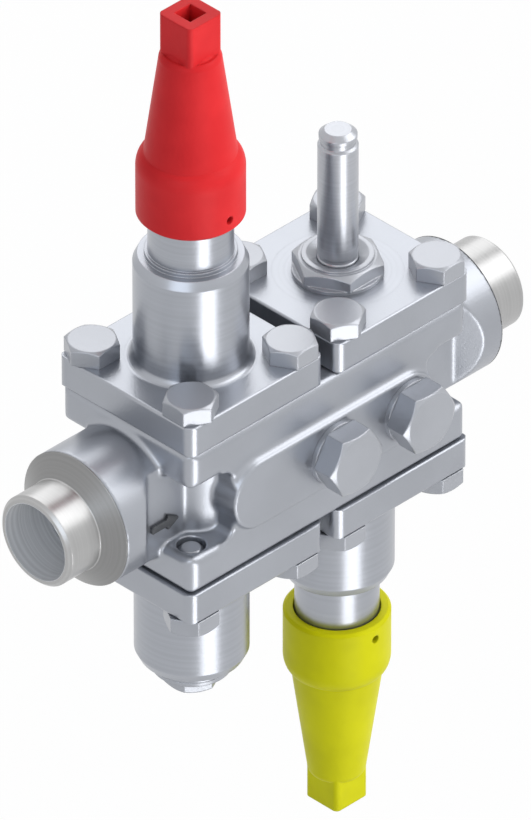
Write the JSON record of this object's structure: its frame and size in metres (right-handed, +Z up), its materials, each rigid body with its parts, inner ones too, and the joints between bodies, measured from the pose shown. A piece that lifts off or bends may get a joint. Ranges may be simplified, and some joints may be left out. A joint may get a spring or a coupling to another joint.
{
  "type": "refrigeration valve station",
  "caption": "Steel refrigeration valve station with butt-weld ends, a stop valve, strainer, solenoid valve and hand regulating valve in one forged housing.",
  "frame": {"origin": "centre of the inlet weld end's open face", "axes": "+X along the pipe axis from inlet to outlet, +Z up along the module axes, -Y towards the side plugs"},
  "size_m": [0.218, 0.0791, 0.3588],
  "materials": {
    "housing_steel": "zinc-plated satin",
    "cover_steel": "zinc-plated satin",
    "pipe_steel": "machined",
    "bolt_steel": "zinc-plated",
    "tube_steel": "drawn stainless",
    "spindle_steel": "polished stainless",
    "valve_steel": "machined",
    "piston_brass": "machined",
    "seal_black": "matt",
    "cap_red": "powder-coated satin",
    "cap_yellow": "powder-coated satin"
  },
  "bodies": {
    "station": {"housing": "housing_steel", "inlet_nipple": "pipe_steel", "outlet_nipple": "pipe_steel", "stop_bonnet": "cover_steel", "stop_gasket": "seal_black", "stop_bolts": "bolt_steel", "stop_packing": "seal_black", "stop_gland": "bolt_steel", "stop_cap_seal": "seal_black", "strainer_bonnet": "cover_steel", "strainer_gasket": "seal_black", "strainer_bolts": "bolt_steel", "strainer_basket": "spindle_steel", "drain_washer": "bolt_steel", "drain_plug": "bolt_steel", "solenoid_cover": "cover_steel", "solenoid_gasket": "seal_black", "solenoid_bolts": "bolt_steel", "tube_nut": "bolt_steel", "armature_tube": "tube_steel", "armature_spring": "spindle_steel", "piston_spring": "spindle_steel", "regulating_bonnet": "cover_steel", "regulating_gasket": "seal_black", "regulating_bolts": "bolt_steel", "regulating_packing": "seal_black", "regulating_gland": "bolt_steel", "regulating_cap_seal": "seal_black", "middle_plug": "bolt_steel", "middle_plug_washer": "bolt_steel", "right_plug": "bolt_steel", "right_plug_washer": "bolt_steel"},
    "red_cap": {"stop_cap": "cap_red"},
    "yellow_cap": {"regulating_cap": "cap_yellow"},
    "stop_closer": {"stop_disc": "valve_steel"},
    "stop_spindle": {"stop_stem": "spindle_steel"},
    "regulating_closer": {"regulating_cone": "valve_steel"},
    "regulating_spindle": {"regulating_stem": "spindle_steel"},
    "armature_core": {"armature": "valve_steel"},
    "servo_piston": {"piston": "piston_brass"}
  },
  "joints": [
    {"name": "stop_cap_lift", "type": "slide", "parent": "station", "child": "red_cap", "axis": [0, 0, 1], "range_m": [0, 0.075]},
    {"name": "regulating_cap_drop", "type": "slide", "parent": "station", "child": "yellow_cap", "axis": [0, 0, -1], "range_m": [0, 0.075]},
    {"name": "stop_disc_lift", "type": "slide", "parent": "station", "child": "stop_closer", "axis": [0, 0, 1], "range_m": [0, 0.008]},
    {"name": "stop_stem_turn", "type": "hinge", "parent": "stop_closer", "child": "stop_spindle", "pos_m": [0.074, 0, 0.1], "axis": [0, 0, 1], "range_deg": [0, 1440]},
    {"name": "regulating_cone_lift", "type": "slide", "parent": "station", "child": "regulating_closer", "axis": [0, 0, -1], "range_m": [0, 0.008]},
    {"name": "regulating_stem_turn", "type": "hinge", "parent": "regulating_closer", "child": "regulating_spindle", "pos_m": [0.144, 0, -0.1], "axis": [0, 0, -1], "range_deg": [0, 1440]},
    {"name": "armature_pull", "type": "slide", "parent": "station", "child": "armature_core", "axis": [0, 0, 1], "range_m": [0, 0.002], "stiffness_N_per_m": 300, "springref_m": -0.002, "deforming": ["armature_spring"]},
    {"name": "piston_rise", "type": "slide", "parent": "station", "child": "servo_piston", "axis": [0, 0, 1], "range_m": [0, 0.005], "stiffness_N_per_m": 400, "springref_m": -0.003, "deforming": ["piston_spring"]}
  ],
  "couplings": [
    {"joint": "stop_stem_turn", "follows": "stop_disc_lift", "rad_per_m": 3141.5},
    {"joint": "regulating_stem_turn", "follows": "regulating_cone_lift", "rad_per_m": 3141.5}
  ]
}
